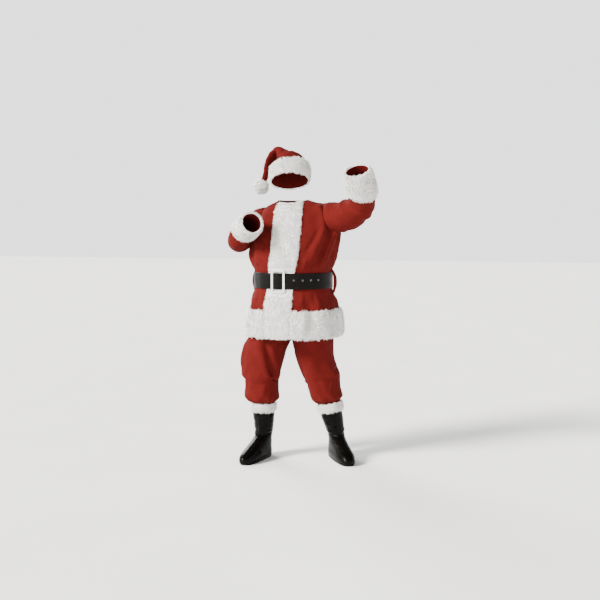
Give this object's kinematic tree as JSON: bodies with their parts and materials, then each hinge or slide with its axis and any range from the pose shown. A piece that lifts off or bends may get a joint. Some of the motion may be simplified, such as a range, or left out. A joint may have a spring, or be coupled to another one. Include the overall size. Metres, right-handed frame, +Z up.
{
  "type": "santa suit",
  "caption": "Worn red plush Santa suit with white fur trim: belted jacket, trousers, hat with pompom and black boot covers, in a greeting pose, hollow and empty.",
  "frame": {"origin": "base of the wearer's neck, where the shoulders carry the jacket, 1.475 m above the soles", "axes": "+Z up along the body, +X to the wearer's left, -Y to the front"},
  "size_m": [0.9051, 0.569, 1.8195],
  "materials": {
    "red_plush": "deep red short-pile plush with a soft nap",
    "white_fur": "white curly fake fur",
    "black_vinyl": "glossy black vinyl leather cloth",
    "silver_metal": "bright silver metal"
  },
  "bodies": {
    "root": {"belt_buckle": "silver_metal", "belt_eyelet_1": "silver_metal", "belt_eyelet_2": "silver_metal", "belt_eyelet_3": "silver_metal", "belt_eyelet_4": "silver_metal", "belt_loop_left": "red_plush", "belt_loop_right": "red_plush", "belt_strap": "black_vinyl", "boot_cover_left": "black_vinyl", "boot_cover_right": "black_vinyl", "boot_fur_left": "white_fur", "boot_fur_right": "white_fur", "fur_cuff_left": "white_fur", "fur_cuff_right": "white_fur", "fur_hem": "white_fur", "fur_placket": "white_fur", "hat_band": "white_fur", "hat_crown": "red_plush", "hat_pompom": "white_fur", "jacket_back": "red_plush", "jacket_front_left": "red_plush", "jacket_front_right": "red_plush", "sleeve_left": "red_plush", "sleeve_right": "red_plush", "trouser_back_left": "red_plush", "trouser_back_right": "red_plush", "trouser_front_left": "red_plush", "trouser_front_right": "red_plush", "trouser_waistband": "red_plush"}
  },
  "joints": []
}
